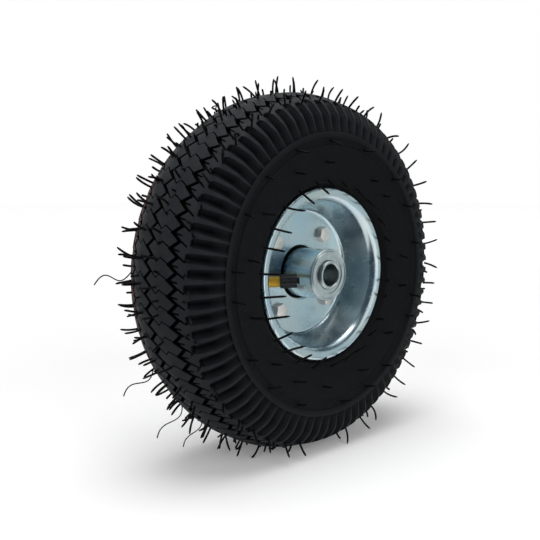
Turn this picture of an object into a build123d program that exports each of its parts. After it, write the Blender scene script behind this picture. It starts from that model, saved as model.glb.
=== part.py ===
from build123d import *
from math import atan2, cos, pi, radians, sin, tan
import os

# Pneumatic wheel with a bolted two-piece rim. Millimetres, +Z up.
# The axle runs along Y through the origin, at the middle of the tyre's width.
# The front of the wheel, with the bolt heads and the valve, faces -Y.

# Tyre
tyre_diameter = 260.0
tyre_width = 84.0
crown_flat = 22.0
tread_width = 65.0
tread_drop = 8.0
rib_knee_drop = 9.5
rib_knee_step = 2.5
ring_drop = 14.5
ring_width = 3.0
ring_height = 1.2
line_ring_drop = 7.0
line_ring_width = 2.4
line_ring_height = 0.8
band_slope = 0.4
sidewall_step = 3.4
sidewall_foot = 4.0
crown_thickness = 10.5
shoulder_thickness = 14.0
sidewall_thickness = 4.6
bead_width = 9.5
bead_height = 11.0

# Tread grooves and shoulder ribs
tread_pitches = 80
groove_offset = 21.0
groove_width = 3.2
groove_swing = 3.1
groove_depth = 3.6
rib_groove_width = 5.2
rib_groove_flare = 0.7
rib_groove_depth = 1.5
rib_point = 4.0
rib_stagger = 2.6
rib_reach = 8.0
groove_overcut = 1.0

# Moulding hairs
hair_radius = 0.8
hair_length = 13.0
side_hair_length = 12.0
crown_hair_offset = 8.0
edge_hair_share = 0.75
band_hair_share = 0.5
bead_hair_share = 0.1
hair_pitches = 2
side_hair_pitches = 4
hair_floor_pitches = 6

# Rim halves, pressed from sheet
sheet = 1.8
disc_face = 8.0
well_radius = 46.0
flange_rise = 8.3
flange_flat = 0.16
lip_face = 34.0
lip_edge = 0.4
disc_bend = 3.5
flange_bend = 8.0
lip_bend = 2.2

# Bolts, washers and nuts
bolt_count = 4
bolt_inset = 11.0
bolt_angle = 50.0
bolt_diameter = 6.0
bolt_hole_clearance = 0.3
hex_across_flats = 10.0
head_height = 4.0
nut_height = 5.0
bolt_overrun = 2.0
washer_diameter = 11.0
washer_thickness = 1.6
washer_split = 1.2

# Hub and bearings
hub_diameter = 36.0
hub_wall = 2.0
hub_length = 69.0
hub_hole_clearance = 2.8
weld_leg = 4.0
axle_bore = 16.0
bearing_flange_diameter = 37.0
bearing_flange = 1.5
bearing_depth = 10.0
inner_ring_diameter = 20.6
inner_ring_length = 11.5
inner_ring_stand = 2.0
outer_ring_bore = 27.4
ball_diameter = 4.76
ball_pitch_radius = 12.0
ball_count = 9
ball_inset = 5.0
race_half_width = 2.1
shield_thickness = 0.8
shield_inset = 0.3
spacer_wall = 1.6

# Inner tube and valve
tube_wall = 2.0
valve_angle = 184.5
valve_tilt = 45.0
cap_tip_inset = 19.0
cap_tip_sink = 1.0
cap_diameter = 9.7
cap_length = 13.4
cap_bore_depth = 9.6
cap_flutes = 12
cap_flute_depth = 0.5
cap_flute_width = 1.0
cap_bevel = 1.6
stem_diameter = 7.6
stem_in_cap = 6.0
stem_show = 8.0
stem_bend = 6.0
stem_exit_rise = 6.3
stem_foot = 6.4
core_diameter = 5.2
core_length = 9.0
core_bore = 2.4
pin_diameter = 1.6
pin_stand = 1.0
pin_length = 8.2
foot_diameter = 12.0
foot_thickness = 2.6

# Fits
press_clearance = 0.02
race_clearance = 0.1
running_clearance = 0.3
seat_clearance = 0.3
thread_clearance = 0.12

# Worked out from the sizes above
crown_radius = tyre_diameter / 2
half_width = tyre_width / 2
half_tread = tread_width / 2
tread_edge_radius = crown_radius - tread_drop
rib_knee_radius = tread_edge_radius - rib_knee_drop
ring_radius = rib_knee_radius - ring_drop
line_ring_radius = ring_radius - line_ring_drop
flange_radius = well_radius + flange_rise
wall_tilt = atan2(flange_rise, lip_face - disc_face)
flange_run = flange_bend * tan((pi / 2 - wall_tilt) / 2)
lip_radius = flange_radius + flange_run + flange_flat + lip_bend
lip_return = lip_bend + lip_edge
sidewall_radius = (line_ring_radius + lip_radius) / 2
bolt_radius = well_radius - bolt_inset
hub_radius = hub_diameter / 2
hub_end = hub_length / 2
bore_radius = axle_bore / 2
bearing_end = hub_end + bearing_flange
inner_ring_end = bearing_end + inner_ring_stand
rear_face = disc_face - 2 * sheet
os.makedirs("parts", exist_ok=True)


def outline(*points):
    """A face on the XY plane through (radius, axial place) points, ready to be turned about the axle."""
    with BuildSketch(Plane.XY) as face:
        with BuildLine():
            Polyline(*points, close=True)
        make_face()
    return face.sketch


def ring_outline(inner, outer, start, end):
    """The section of a plain ring between two radii and two axial places."""
    return outline((inner, start), (outer, start), (outer, end), (inner, end))


def wall_radius(front):
    """Radius of the rim's conical wall, on its open side, at a distance from the middle plane."""
    return well_radius + (front - disc_face) * tan(wall_tilt)


def save(piece, name):
    """Label a finished piece and write its STEP file."""
    piece.part.label = name
    export_step(piece.part, f"parts/{name}.step", write_pcurves=False)


# Tyre section, one half: the bead follows the rim with a seat clearance
sheet_reach = (sheet + seat_clearance) / cos(wall_tilt)
flange_centre_front = lip_face - flange_bend
flange_centre_radius = wall_radius(flange_centre_front) + flange_bend / cos(wall_tilt)
bead_bend = flange_bend - sheet - seat_clearance
heel_front = flange_centre_front + bead_bend * sin(wall_tilt)
toe_front = heel_front - bead_width
lip_back = lip_face - lip_return - seat_clearance
lip_clear = lip_radius + seat_clearance
inner_half_width = half_width - sidewall_thickness
band_face = half_width - ring_height
line_face = band_face - band_slope
crown_edge = (crown_radius, crown_flat / 2)
tread_edge = (tread_edge_radius, half_tread)
band_top = (ring_radius - ring_width / 2 - ring_height, band_face)
band_foot = (line_ring_radius + line_ring_width / 2, line_face)
line_foot = (line_ring_radius - line_ring_width / 2, line_face)
sidewall_bend = (sidewall_radius, half_width - sidewall_step)
sidewall_end = (lip_radius + sidewall_foot, lip_face + lip_bend)
outer_half = [
    (crown_radius, 0),
    crown_edge,
    tread_edge,
    (rib_knee_radius, half_width - rib_knee_step),
    (ring_radius + ring_width / 2, half_width),
    (ring_radius - ring_width / 2, half_width),
    band_top,
    band_foot,
    (line_ring_radius, line_face + line_ring_height),
    line_foot,
    sidewall_bend,
    sidewall_end,
    (lip_clear, lip_back),
    (flange_centre_radius, lip_back),
    (wall_radius(heel_front) + sheet_reach, heel_front),
    (wall_radius(toe_front) + sheet_reach, toe_front),
]
inner_half = [
    (wall_radius(toe_front) + bead_height, toe_front + bead_height / 2),
    (sidewall_radius, inner_half_width - sidewall_step),
    (rib_knee_radius, inner_half_width - rib_knee_step),
    (crown_radius - crown_thickness, half_tread - shoulder_thickness),
    (crown_radius - crown_thickness, 0),
]

# Tread cutters and hairs are made at the +X side in the tyre's own turning frame:
# X is the radius, Y runs around the tyre, and Z points to the front, along the axle
shoulder_top = Vector(tread_edge_radius, 0, half_tread)
shoulder_foot = Vector(ring_radius + ring_width / 2, 0, half_width)
shoulder_line = shoulder_top - shoulder_foot
shoulder_out = Vector(-shoulder_line.Z, 0, shoulder_line.X).normalized()
rib_plane = Plane(
    origin=shoulder_foot - shoulder_out * rib_groove_depth,
    x_dir=shoulder_line,
    z_dir=shoulder_out,
)
tread_tilt = atan2(tread_drop, half_tread - crown_flat / 2)
outer_groove_radius = crown_radius - (groove_offset - crown_flat / 2) * tan(tread_tilt)
pitch_angle = 360 / tread_pitches


def rib_groove(length):
    """A cutter for one trough between two shoulder ribs, pointed at its tread end and widest at its foot."""
    top = rib_groove_width / 2
    foot = top + rib_groove_flare
    with BuildPart() as cutter:
        with BuildSketch(rib_plane):
            with BuildLine():
                Polyline(
                    (0, -foot),
                    (length - rib_point, -top),
                    (length, 0),
                    (length - rib_point, top),
                    (0, foot),
                    close=True,
                )
            make_face()
        extrude(amount=rib_reach)
    return cutter.part


def zigzag_groove(front, radius, tilt):
    """A cutter for one pitch of a zigzag tread groove, square to a tread face of the given tilt."""
    reach = (crown_radius + groove_overcut) * tan(pi / tread_pitches)
    half = groove_width / 2
    out = Vector(cos(tilt), 0, sin(tilt))
    face = Plane(origin=Vector(radius, 0, front) - out * groove_depth, x_dir=(0, 1, 0), z_dir=out)
    with BuildPart() as cutter:
        with BuildSketch(face):
            with BuildLine():
                Polyline(
                    (-reach, -groove_swing - half),
                    (0, groove_swing - half),
                    (reach, -groove_swing - half),
                    (reach, -groove_swing + half),
                    (0, groove_swing + half),
                    (-reach, -groove_swing + half),
                    close=True,
                )
            make_face()
        extrude(amount=groove_depth + groove_overcut)
    return cutter.part


def tyre_pitch(rib_length):
    """One pitch of the tyre: its section as a straight bar, mitred to its neighbours, with grooves cut."""
    rib = rib_groove(rib_length)
    mitre = radians(pitch_angle / 2)
    with BuildPart() as pitch:
        with BuildSketch(Plane.XZ):
            with BuildLine():
                Polyline(*outer_half, *inner_half, close=True)
            make_face()
            mirror(about=Plane.XZ)
        extrude(amount=tyre_diameter * tan(mitre), both=True)
        for side in (-1, 1):
            mitre_way = (sin(mitre), side * cos(mitre), 0)
            split(bisect_by=Plane(origin=(0, 0, 0), x_dir=(0, 0, 1), z_dir=mitre_way))
        add(zigzag_groove(0, crown_radius, 0), mode=Mode.SUBTRACT)
        add(zigzag_groove(groove_offset, outer_groove_radius, tread_tilt), mode=Mode.SUBTRACT)
        add(zigzag_groove(-groove_offset, outer_groove_radius, -tread_tilt), mode=Mode.SUBTRACT)
        add([rib, rib.mirror(Plane.XY)], mode=Mode.SUBTRACT)
    return pitch.part


with BuildPart(Plane.XZ) as tyre:
    with PolarLocations(0, tread_pitches // 2):
        add(tyre_pitch(shoulder_line.length + rib_point))
    with PolarLocations(0, tread_pitches // 2, start_angle=pitch_angle):
        add(tyre_pitch(shoulder_line.length + rib_point - rib_stagger))
save(tyre, "tyre")


def hair(start, end, share, length):
    """One moulding hair, standing square on the tyre face between two points of its section."""
    foot = Vector(start[0], 0, start[1])
    line = Vector(end[0], 0, end[1]) - foot
    with BuildPart() as strand:
        with BuildSketch(Plane(origin=foot + line * share, x_dir=line, z_dir=(-line.Z, 0, line.X))):
            RegularPolygon(radius=hair_radius, side_count=3)
        extrude(amount=length)
    return strand.part


# Hairs stand all round the sidewalls, and on the tread except where it meets the ground
crown_hair = hair((crown_radius, crown_hair_offset), (crown_radius, 0), 0, hair_length)
edge_hair = hair(tread_edge, crown_edge, 1 - edge_hair_share, hair_length)
band_hair = hair(band_foot, band_top, band_hair_share, side_hair_length)
bead_hair = hair(sidewall_end, sidewall_bend, bead_hair_share, side_hair_length)
tread_hairs = (tread_pitches - 2 * hair_floor_pitches) // hair_pitches + 1
tread_start = -90 + hair_floor_pitches * pitch_angle
tread_arc = 360 - 2 * hair_floor_pitches * pitch_angle
with BuildPart(Plane.XZ) as vent_hairs:
    with PolarLocations(0, tread_hairs, tread_start, tread_arc, endpoint=True):
        add([crown_hair, crown_hair.mirror(Plane.XY), edge_hair, edge_hair.mirror(Plane.XY)])
    with PolarLocations(0, tread_pitches // side_hair_pitches):
        add([band_hair, band_hair.mirror(Plane.XY), bead_hair, bead_hair.mirror(Plane.XY)])
save(vent_hairs, "vent_hairs")


def rim_sheet(points, bends):
    """The section of a pressed rim half: its open side as a bent line, given the sheet's thickness."""
    with BuildSketch(Plane.XY) as section:
        with BuildLine():
            FilletPolyline(*points, radius=bends)
            offset(amount=sheet, side=Side.RIGHT)
        make_face()
    return section.sketch


# Rim halves: the open side of each, from the hub hole to the rolled lip, with y to its own side
hub_hole = hub_radius + hub_hole_clearance
weld_hole = hub_radius + press_clearance
bolt_hole = bolt_diameter / 2 + bolt_hole_clearance
flange_line = [
    (flange_radius, lip_face),
    (lip_radius, lip_face),
    (lip_radius, lip_face - lip_return),
]
front_line = [(hub_hole, disc_face), (well_radius, disc_face), *flange_line]
rear_line = [(weld_hole, -rear_face), (well_radius, -rear_face), (well_radius, disc_face), *flange_line]
bolt_plane = Plane.XZ.offset(disc_face)

# Valve line in the plane through the axle at the valve: local x is the radius, local y points to the front
valve_clock = Vector(cos(radians(valve_angle)), 0, sin(radians(valve_angle)))
valve_plane = Plane(origin=(0, 0, 0), x_dir=valve_clock, z_dir=valve_clock.cross(Vector(0, -1, 0)))
cap_tip = Vector(well_radius - cap_tip_inset, lip_face - cap_tip_sink)
cap_way = Vector(-cos(radians(valve_tilt)), sin(radians(valve_tilt)))
cap_base = cap_tip - cap_way * cap_length
stem_end = cap_base + cap_way * stem_in_cap
stem_turn = cap_base - cap_way * stem_show
stem_exit_front = disc_face + stem_exit_rise
stem_exit = Vector(wall_radius(stem_exit_front), stem_exit_front)
foot_way = (stem_exit - stem_turn).normalized()
stem_start = stem_exit + foot_way * stem_foot


def on_valve(place):
    """The point in space of a (radius, front) place in the valve's plane."""
    return valve_plane.from_local_coords(place)


def along_valve(place, way):
    """A plane square to the valve line at a place on it, with its normal along the way given."""
    return Plane(origin=on_valve(place), x_dir=valve_plane.z_dir, z_dir=on_valve(way))


with BuildPart() as rim_half_front:
    add(rim_sheet(front_line, (disc_bend, flange_bend, lip_bend)))
    revolve(axis=Axis.Y)
    mirror(about=Plane.XZ, mode=Mode.REPLACE)
    with BuildSketch(bolt_plane):
        with PolarLocations(bolt_radius, bolt_count, bolt_angle):
            Circle(bolt_hole)
    extrude(amount=2 * sheet, both=True, mode=Mode.SUBTRACT)
    with BuildSketch(along_valve(stem_exit, foot_way)):
        Circle(stem_diameter / 2 + seat_clearance)
    extrude(amount=stem_foot, both=True, mode=Mode.SUBTRACT)
save(rim_half_front, "rim_half_front")

with BuildPart() as rim_half_rear:
    add(rim_sheet(rear_line, (disc_bend, disc_bend, flange_bend, lip_bend)))
    revolve(axis=Axis.Y)
    with BuildSketch(bolt_plane):
        with PolarLocations(bolt_radius, bolt_count, bolt_angle):
            Circle(bolt_hole)
    extrude(amount=-3 * sheet, mode=Mode.SUBTRACT)
save(rim_half_rear, "rim_half_rear")

# Bolts from the front, spring washers and nuts on the rear disc
nut_seat = disc_face - 2 * sheet - washer_thickness
shank_length = disc_face - nut_seat + nut_height + bolt_overrun
with BuildPart() as rim_bolts:
    with BuildSketch(bolt_plane):
        with PolarLocations(bolt_radius, bolt_count, bolt_angle):
            RegularPolygon(radius=hex_across_flats / 2, side_count=6, major_radius=False)
    extrude(amount=head_height)
    with BuildSketch(bolt_plane):
        with PolarLocations(bolt_radius, bolt_count, bolt_angle):
            Circle(bolt_diameter / 2)
    extrude(amount=-shank_length)
save(rim_bolts, "rim_bolts")

with BuildPart() as rim_washers:
    with BuildSketch(Plane.XZ.offset(nut_seat)):
        with PolarLocations(bolt_radius, bolt_count, bolt_angle):
            Circle(washer_diameter / 2)
            Circle(bolt_hole, mode=Mode.SUBTRACT)
        with PolarLocations(bolt_radius + washer_diameter / 2, bolt_count, bolt_angle):
            Rectangle(washer_diameter, washer_split, mode=Mode.SUBTRACT)
    extrude(amount=washer_thickness)
save(rim_washers, "rim_washers")

with BuildPart() as rim_nuts:
    with BuildSketch(Plane.XZ.offset(nut_seat)):
        with PolarLocations(bolt_radius, bolt_count, bolt_angle):
            RegularPolygon(radius=hex_across_flats / 2, side_count=6, major_radius=False)
            Circle(bolt_diameter / 2 + press_clearance, mode=Mode.SUBTRACT)
    extrude(amount=-nut_height)
save(rim_nuts, "rim_nuts")

with BuildPart() as hub_tube:
    add(ring_outline(hub_radius - hub_wall, hub_radius, -hub_end, hub_end))
    revolve(axis=Axis.Y)
save(hub_tube, "hub_tube")

with BuildPart() as hub_weld:
    weld_foot = (weld_hole + weld_leg, -rear_face)
    add(outline((weld_hole, -rear_face), weld_foot, (weld_hole, weld_leg - rear_face)))
    revolve(axis=Axis.Y)
save(hub_weld, "hub_weld")

# Bearing sections for the rear side, with y away from the middle; the front ones are mirrored
ball_place = bearing_end - ball_inset
race_floor = race_half_width / 2
outer_land = outer_ring_bore / 2
inner_land = inner_ring_diameter / 2
outer_race = ball_pitch_radius + ball_diameter / 2 + race_clearance
inner_race = ball_pitch_radius - ball_diameter / 2 - race_clearance
press_radius = hub_radius - hub_wall - press_clearance
bearing_back = hub_end - bearing_depth
inner_ring_back = inner_ring_end - inner_ring_length
outer_ring_section = outline(
    (outer_land, bearing_back),
    (press_radius, bearing_back),
    (press_radius, hub_end),
    (bearing_flange_diameter / 2, hub_end),
    (bearing_flange_diameter / 2, bearing_end),
    (outer_land, bearing_end),
    (outer_land, ball_place + race_half_width),
    (outer_race, ball_place + race_floor),
    (outer_race, ball_place - race_floor),
    (outer_land, ball_place - race_half_width),
)
inner_ring_section = outline(
    (bore_radius, inner_ring_back),
    (inner_land, inner_ring_back),
    (inner_land, ball_place - race_half_width),
    (inner_race, ball_place - race_floor),
    (inner_race, ball_place + race_floor),
    (inner_land, ball_place + race_half_width),
    (inner_land, inner_ring_end),
    (bore_radius, inner_ring_end),
)
shield_outer = bearing_end - shield_inset
shield_section = ring_outline(
    inner_land + running_clearance,
    outer_land - press_clearance,
    shield_outer - shield_thickness,
    shield_outer,
)

with BuildPart() as bearing_outer_rear:
    add(outer_ring_section)
    revolve(axis=Axis.Y)
save(bearing_outer_rear, "bearing_outer_rear")

with BuildPart() as bearing_outer_front:
    add(outer_ring_section.mirror(Plane.XZ))
    revolve(axis=Axis.Y)
save(bearing_outer_front, "bearing_outer_front")

with BuildPart() as bearing_inner_rear:
    add(inner_ring_section)
    revolve(axis=Axis.Y)
save(bearing_inner_rear, "bearing_inner_rear")

with BuildPart() as bearing_inner_front:
    add(inner_ring_section.mirror(Plane.XZ))
    revolve(axis=Axis.Y)
save(bearing_inner_front, "bearing_inner_front")

with BuildPart() as bearing_shield_rear:
    add(shield_section)
    revolve(axis=Axis.Y)
save(bearing_shield_rear, "bearing_shield_rear")

with BuildPart() as bearing_shield_front:
    add(shield_section.mirror(Plane.XZ))
    revolve(axis=Axis.Y)
save(bearing_shield_front, "bearing_shield_front")

# Hidden balls carry flats in place of a full sphere, each flat at the ball's true radius
with BuildPart() as ball:
    Box(ball_diameter, ball_diameter, ball_diameter)
    chamfer(ball.edges(), ball_diameter * (1 - tan(pi / 8)) / 2)

with BuildPart(Plane.XZ) as bearing_balls:
    with PolarLocations(ball_pitch_radius, ball_count):
        add(Pos(0, 0, ball_place) * ball.part)
        add(Pos(0, 0, -ball_place) * ball.part)
save(bearing_balls, "bearing_balls")

with BuildPart() as bearing_spacer:
    add(ring_outline(bore_radius, bore_radius + spacer_wall, -inner_ring_back, inner_ring_back))
    revolve(axis=Axis.Y)
save(bearing_spacer, "bearing_spacer")

# Inner tube: it fills the casing down to a floor between the beads
tube_floor_radius = wall_radius(toe_front) + sheet_reach
with BuildPart() as inner_tube:
    with BuildSketch(Plane.XY):
        with BuildLine():
            Polyline((tube_floor_radius, 0), (tube_floor_radius, toe_front), *inner_half, close=True)
        make_face()
        mirror(about=Plane.XZ)
        offset(amount=-seat_clearance, kind=Kind.INTERSECTION, mode=Mode.REPLACE)
        offset(amount=-tube_wall, kind=Kind.INTERSECTION, mode=Mode.SUBTRACT)
    revolve(axis=Axis.Y)
    with BuildSketch(along_valve(stem_start, foot_way)):
        Circle(foot_diameter / 2 + press_clearance)
    extrude(amount=foot_diameter, both=True, mode=Mode.SUBTRACT)
save(inner_tube, "inner_tube")

with BuildPart() as valve_foot:
    with BuildSketch(along_valve(stem_start, foot_way)):
        Circle(foot_diameter / 2)
        Circle(stem_diameter / 2 + press_clearance, mode=Mode.SUBTRACT)
    extrude(amount=-foot_thickness)
save(valve_foot, "valve_foot")

with BuildPart() as valve_stem:
    with BuildLine() as stem_path:
        FilletPolyline(on_valve(stem_start), on_valve(stem_turn), on_valve(stem_end), radius=stem_bend)
    with BuildSketch(along_valve(stem_start, foot_way * -1)):
        Circle(stem_diameter / 2)
    sweep(path=stem_path.wire())
    with BuildSketch(along_valve(stem_end, cap_way)):
        Circle(core_diameter / 2 + press_clearance)
    extrude(amount=-core_length, mode=Mode.SUBTRACT)
save(valve_stem, "valve_stem")

with BuildPart() as valve_core:
    with BuildSketch(along_valve(stem_end, cap_way)):
        Circle(core_diameter / 2)
        Circle(core_bore / 2, mode=Mode.SUBTRACT)
    extrude(amount=-core_length + pin_stand)
save(valve_core, "valve_core")

with BuildPart() as valve_pin:
    with BuildSketch(along_valve(stem_end + cap_way * pin_stand, cap_way)):
        Circle(pin_diameter / 2)
    extrude(amount=-pin_length)
save(valve_pin, "valve_pin")

# Cap: a fluted cup with a bevelled end, screwed over the end of the stem
with BuildPart() as valve_cap:
    with BuildSketch(along_valve(cap_base, cap_way)):
        Circle(cap_diameter / 2)
        with PolarLocations(cap_diameter / 2, cap_flutes):
            Rectangle(2 * cap_flute_depth, cap_flute_width, mode=Mode.SUBTRACT)
    extrude(amount=cap_length)
    with BuildSketch(along_valve(cap_tip, cap_way * -1)):
        Circle(cap_diameter)
        Circle(cap_diameter / 2 - cap_bevel, mode=Mode.SUBTRACT)
    extrude(amount=cap_bevel, taper=-45, mode=Mode.SUBTRACT)
    with BuildSketch(along_valve(cap_base, cap_way)):
        Circle(stem_diameter / 2 + thread_clearance)
    extrude(amount=cap_bore_depth, mode=Mode.SUBTRACT)
save(valve_cap, "valve_cap")
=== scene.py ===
"""Looks of a pneumatic wheel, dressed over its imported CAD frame.

Sizes are in millimetres in the wheel's own frame: the axle is the Y axis, the front of the wheel faces -Y
and Z is up. They turn into metres where a mesh is made.
"""

import logging
import math
import random
from bisect import bisect_right
from collections.abc import Callable, Iterable
from dataclasses import dataclass, field
from enum import Enum
from functools import cached_property

import bmesh
import bpy
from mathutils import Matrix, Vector
from mathutils.geometry import delaunay_2d_cdt


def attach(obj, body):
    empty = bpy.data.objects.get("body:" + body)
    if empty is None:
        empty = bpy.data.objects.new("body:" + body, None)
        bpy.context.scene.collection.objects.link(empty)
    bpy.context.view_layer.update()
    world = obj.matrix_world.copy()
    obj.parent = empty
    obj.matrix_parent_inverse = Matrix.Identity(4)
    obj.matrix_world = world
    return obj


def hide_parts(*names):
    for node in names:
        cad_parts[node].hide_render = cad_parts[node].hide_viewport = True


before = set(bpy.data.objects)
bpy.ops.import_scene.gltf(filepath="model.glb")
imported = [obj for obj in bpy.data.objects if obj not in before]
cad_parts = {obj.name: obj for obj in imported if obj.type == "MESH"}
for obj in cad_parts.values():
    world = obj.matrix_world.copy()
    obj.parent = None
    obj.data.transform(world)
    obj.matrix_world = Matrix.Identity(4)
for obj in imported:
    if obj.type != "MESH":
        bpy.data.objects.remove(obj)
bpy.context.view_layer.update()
MM = 0.001
CUT_SHADE = "cut_shade"
WELD_REACH = 0.004
SLIVER_REACH = 0.002
FIT_GAP = 0.02
MIX_FIRST, MIX_SECOND, MIX_RESULT = 6, 7, 2
CDT_INSIDE, CDT_EPSILON = 1, 1e-4
LOG = logging.getLogger("wheel")

Point = tuple[float, float]
Span = tuple[float, float]
Spot = tuple[float, float, float]
Colour = tuple[float, float, float]
Socket = bpy.types.NodeSocket
Piece = bpy.types.Object


class Body(Enum):
    """The bodies of the CAD frame that the pieces ride on."""

    AXLE = "axle_side"
    WHEEL = "wheel"


class Slot(Enum):
    """The record's material slots that the pieces belong to."""

    TYRE = "tyre_rubber"
    SHEET = "zinc_sheet"
    BOLT = "bolt_steel"
    BEARING = "bearing_steel"


class Face(Enum):
    """A side of the wheel, with the sign of its Y direction."""

    FRONT = -1
    REAR = 1


def rounded(points: list[Point], radii: list[float], steps: int = 5) -> list[Point]:
    """Round the inner corners of an open line with true arcs.

    Args:
        points: the line's corners.
        radii: one radius for each corner between the two ends.
        steps: the number of chords in each arc.

    Returns:
        The line with its arcs as points.
    """
    line = [points[0]]
    for before, corner, after, radius in zip(points, points[1:], points[2:], radii):
        middle = Vector(corner)
        back = (Vector(before) - middle).normalized()
        on = (Vector(after) - middle).normalized()
        half = back.angle(on) / 2
        reach = radius / math.tan(half)
        centre = middle + (back + on).normalized() * radius / math.sin(half)
        start = middle + back * reach - centre
        turn = start.angle_signed(middle + on * reach - centre)
        for step in range(steps + 1):
            angle = -turn * step / steps
            cos, sin = math.cos(angle), math.sin(angle)
            line.append((centre.x + start.x * cos - start.y * sin, centre.y + start.x * sin + start.y * cos))
    line.append(points[-1])
    return line


def offset_right(line: list[Point], distance: float) -> list[Point]:
    """Shift a line to its right-hand side.

    Args:
        line: the points to shift.
        distance: how far each point goes, square to the line.

    Returns:
        The shifted points, one for each point of the line.
    """
    shifted = []
    for i, point in enumerate(line):
        before, after = Vector(line[max(i - 1, 0)]), Vector(line[min(i + 1, len(line) - 1)])
        along = (after - before).normalized()
        shifted.append((point[0] + along.y * distance, point[1] - along.x * distance))
    return shifted


def anticlockwise(outline: list[Point]) -> list[Point]:
    """Give a closed outline's points in anticlockwise order."""
    area = sum(a[0] * b[1] - b[0] * a[1] for a, b in zip(outline, outline[1:] + outline[:1]))
    return outline if area > 0 else outline[::-1]


@dataclass
class MeshDraft:
    """Corners and faces of a mesh in the making, in millimetres."""

    corners: list[Spot] = field(default_factory=list)
    faces: list[tuple[int, ...]] = field(default_factory=list)
    cut_shade: list[float] = field(default_factory=list)

    def add(
        self, corners: Iterable[Spot], faces: Iterable[tuple[int, ...]], cut_shade: Iterable[float] = ()
    ) -> None:
        """Append a patch whose faces count from its own first corner.

        Args:
            corners: the patch's corners.
            faces: its faces as corner numbers.
            cut_shade: how much painted shade each corner gets in a cut, its depth times the cut's shade share,
                where the patch has cuts.
        """
        start = len(self.corners)
        self.corners.extend(corners)
        self.faces.extend(tuple(start + i for i in face) for face in faces)
        self.cut_shade.extend(cut_shade)
        self.cut_shade.extend([0.0] * (len(self.corners) - len(self.cut_shade)))

    def skin(self, rows: list[list[Spot]], closed: bool, ring: bool = True) -> None:
        """Stretch faces over rows of corners.

        Args:
            rows: the corners of each row, as many in every row.
            closed: whether each row's last corner joins its first.
            ring: whether the last row joins the first.
        """
        size, count, faces = len(rows[0]), len(rows), []
        for step in range(count if ring else count - 1):
            here, there = step * size, (step + 1) % count * size
            for i in range(size if closed else size - 1):
                j = (i + 1) % size
                faces.append((here + i, here + j, there + j, there + i))
        self.add((corner for row in rows for corner in row), faces)

    def turn(self, line: list[Point], count: int, closed: bool = True) -> None:
        """Turn a line about the axle.

        Args:
            line: the (radius, y) points of the section.
            count: the number of steps around.
            closed: whether the section's last point joins its first.
        """
        rows = []
        for step in range(count):
            angle = math.tau * step / count
            rows.append([(r * math.cos(angle), y, r * math.sin(angle)) for r, y in line])
        self.skin(rows, closed)

    def tube(self, path: list[Vector], radii: list[float], sides: int) -> None:
        """Draw a round strand along a path and close its ends.

        Args:
            path: the points of its middle line.
            radii: the strand's radius at each point.
            sides: the number of sides around.
        """
        rows = []
        turns = [math.tau * n / sides for n in range(sides)]
        side = (path[1] - path[0]).orthogonal().normalized()
        for i, (spot, radius) in enumerate(zip(path, radii)):
            along = (path[min(i + 1, len(path) - 1)] - path[max(i - 1, 0)]).normalized()
            side = (side - along * side.dot(along)).normalized()
            other = along.cross(side)
            rows.append([tuple(spot + (side * math.cos(a) + other * math.sin(a)) * radius) for a in turns])
        first = len(self.corners)
        self.skin(rows, closed=True, ring=False)
        last = len(self.corners)
        self.faces.append(tuple(range(first, first + sides))[::-1])
        self.faces.append(tuple(range(last - sides, last)))

    def make(self, name: str, crease: float = 32.0) -> Piece:
        """Turn the draft into an object.

        Args:
            name: the object's name.
            crease: edges sharper than this many degrees keep a hard line.

        Returns:
            The object, in the scene.
        """
        mesh = bpy.data.meshes.new(name)
        mesh.from_pydata([tuple(c * MM for c in corner) for corner in self.corners], [], self.faces)
        if any(self.cut_shade):
            # painted shade for the cuts, stored per corner for the tread's material
            mesh.attributes.new(CUT_SHADE, "FLOAT", "POINT").data.foreach_set("value", self.cut_shade)
        work = bmesh.new()
        work.from_mesh(mesh)
        bmesh.ops.remove_doubles(work, verts=work.verts, dist=WELD_REACH * MM)
        bmesh.ops.dissolve_degenerate(work, edges=work.edges, dist=SLIVER_REACH * MM)
        bmesh.ops.recalc_face_normals(work, faces=work.faces)
        work.to_mesh(mesh)
        work.free()
        mesh.shade_smooth()
        mesh.set_sharp_from_angle(angle=math.radians(crease))
        piece = bpy.data.objects.new(name, mesh)
        bpy.context.scene.collection.objects.link(piece)
        return piece


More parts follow.
